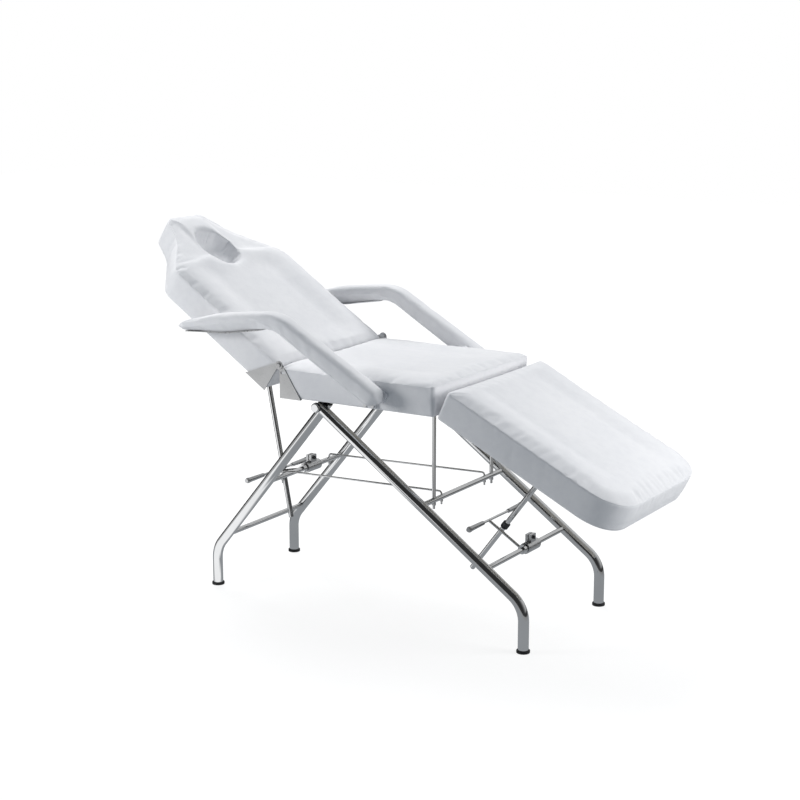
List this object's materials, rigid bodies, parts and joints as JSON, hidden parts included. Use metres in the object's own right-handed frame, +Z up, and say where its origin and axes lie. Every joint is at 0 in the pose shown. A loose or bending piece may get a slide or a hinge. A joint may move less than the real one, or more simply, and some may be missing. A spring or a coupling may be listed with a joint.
{
  "type": "tattoo chair",
  "caption": "Free-standing tattoo and treatment chair with padded seat, reclining backrest with face hole, drop-down leg rest, padded armrests and a chromed tube A-frame.",
  "frame": {"origin": "on the floor under the middle of the whole chair at rest, between its head end and its foot end", "axes": "+X towards the foot end, +Y to the sitter's left, +Z up"},
  "size_m": [1.7596, 0.708, 1.1435],
  "materials": {
    "upholstery": "satin",
    "plywood": "matte",
    "rubber": "matte",
    "grip": "gloss",
    "hinge_sheet": "satin",
    "dark_metal": "satin",
    "white_metal": "satin",
    "zinc": "satin",
    "chrome": "polished"
  },
  "bodies": {
    "base": {"leg_rear_right": "chrome", "leg_rear_left": "chrome", "leg_front_right": "chrome", "leg_front_left": "chrome", "cross_tube_rear_upper": "chrome", "cross_tube_rear_lower": "chrome", "cross_tube_front_upper": "chrome", "cross_tube_front_lower": "chrome", "feet_rear": "rubber", "feet_front": "rubber", "pivot_bolts": "zinc", "pivot_washers": "dark_metal", "pivot_caps": "chrome", "pivot_hanger_right": "dark_metal", "pivot_hanger_left": "dark_metal", "tie_rod_right": "chrome", "tie_rod_left": "chrome", "tie_rod_nuts": "zinc", "seat_post_right": "chrome", "seat_post_left": "chrome", "seat_post_nuts": "zinc", "seat_cushion": "upholstery", "seat_board": "plywood", "hinge_plate_seat_right": "hinge_sheet", "hinge_plate_seat_left": "hinge_sheet", "back_hinge_bolts": "zinc", "leg_hinge_leaves_seat": "zinc", "leg_hinge_pins": "zinc", "clamp_sleeve_rear": "zinc", "clamp_sleeve_front": "zinc", "clamp_bolts": "dark_metal", "armrest_pad_right": "upholstery", "armrest_pad_left": "upholstery", "armrest_strip_right": "zinc", "armrest_strip_left": "zinc", "armrest_plate_right": "white_metal", "armrest_plate_left": "white_metal", "armrest_bolts": "zinc"},
    "back_panel": {"back_cushion": "upholstery", "back_board": "plywood", "hinge_plate_back_right": "hinge_sheet", "hinge_plate_back_left": "hinge_sheet", "back_strut_bracket": "zinc"},
    "leg_panel": {"leg_cushion": "upholstery", "leg_board": "plywood", "leg_hinge_leaves_rest": "zinc", "leg_strut_bracket": "zinc"},
    "back_strut": {"back_strut": "chrome", "back_strut_pin": "zinc"},
    "leg_strut": {"leg_strut": "chrome", "leg_strut_pin": "zinc"},
    "back_lock": {"back_lock_collar": "dark_metal"},
    "leg_lock": {"leg_lock_collar": "dark_metal"},
    "rear_lever": {"rear_lever": "chrome", "rear_lever_grips": "grip"},
    "front_lever": {"front_lever": "chrome", "front_lever_grips": "grip"}
  },
  "joints": [
    {"name": "backrest_tilt", "type": "hinge", "parent": "base", "child": "back_panel", "pos_m": [-0.24701, 0, 0.76], "axis": [0, 1, 0], "range_deg": [-34, 31]},
    {"name": "leg_rest_tilt", "type": "hinge", "parent": "base", "child": "leg_panel", "pos_m": [0.29299, 0, 0.658], "axis": [0, 1, 0], "range_deg": [-26.5, 23.5]},
    {"name": "back_strut_swing", "type": "hinge", "parent": "back_panel", "child": "back_strut", "pos_m": [-0.53281, 0, 0.81286], "axis": [0, 1, 0], "range_deg": [-25.38, 27.83]},
    {"name": "leg_strut_swing", "type": "hinge", "parent": "leg_panel", "child": "leg_strut", "pos_m": [0.54449, 0, 0.51697], "axis": [0, 1, 0], "range_deg": [-20.96, 23.62]},
    {"name": "back_lock_slide", "type": "slide", "parent": "back_strut", "child": "back_lock", "axis": [0.1846, 0, -0.9828], "range_m": [-0.1601, 0.146]},
    {"name": "leg_lock_slide", "type": "slide", "parent": "leg_strut", "child": "leg_lock", "axis": [-0.5984, 0, -0.8012], "range_m": [-0.1153, 0.13]},
    {"name": "rear_lever_lift", "type": "hinge", "parent": "base", "child": "rear_lever", "pos_m": [-0.35449, -0.02, 0.3671], "axis": [0, 1, 0], "range_deg": [0, 12], "stiffness_Nm_per_rad": 2, "springref_deg": -11.46},
    {"name": "front_lever_lift", "type": "hinge", "parent": "base", "child": "front_lever", "pos_m": [0.44405, -0.02, 0.22763], "axis": [0, 1, 0], "range_deg": [0, 12], "stiffness_Nm_per_rad": 2, "springref_deg": -11.46}
  ],
  "couplings": [
    {"joint": "back_strut_swing", "follows": "backrest_tilt", "ratio": -0.817},
    {"joint": "back_lock_slide", "follows": "backrest_tilt", "m_per_rad": 0.26947},
    {"joint": "leg_strut_swing", "follows": "leg_rest_tilt", "ratio": -0.8896},
    {"joint": "leg_lock_slide", "follows": "leg_rest_tilt", "m_per_rad": -0.28074}
  ]
}
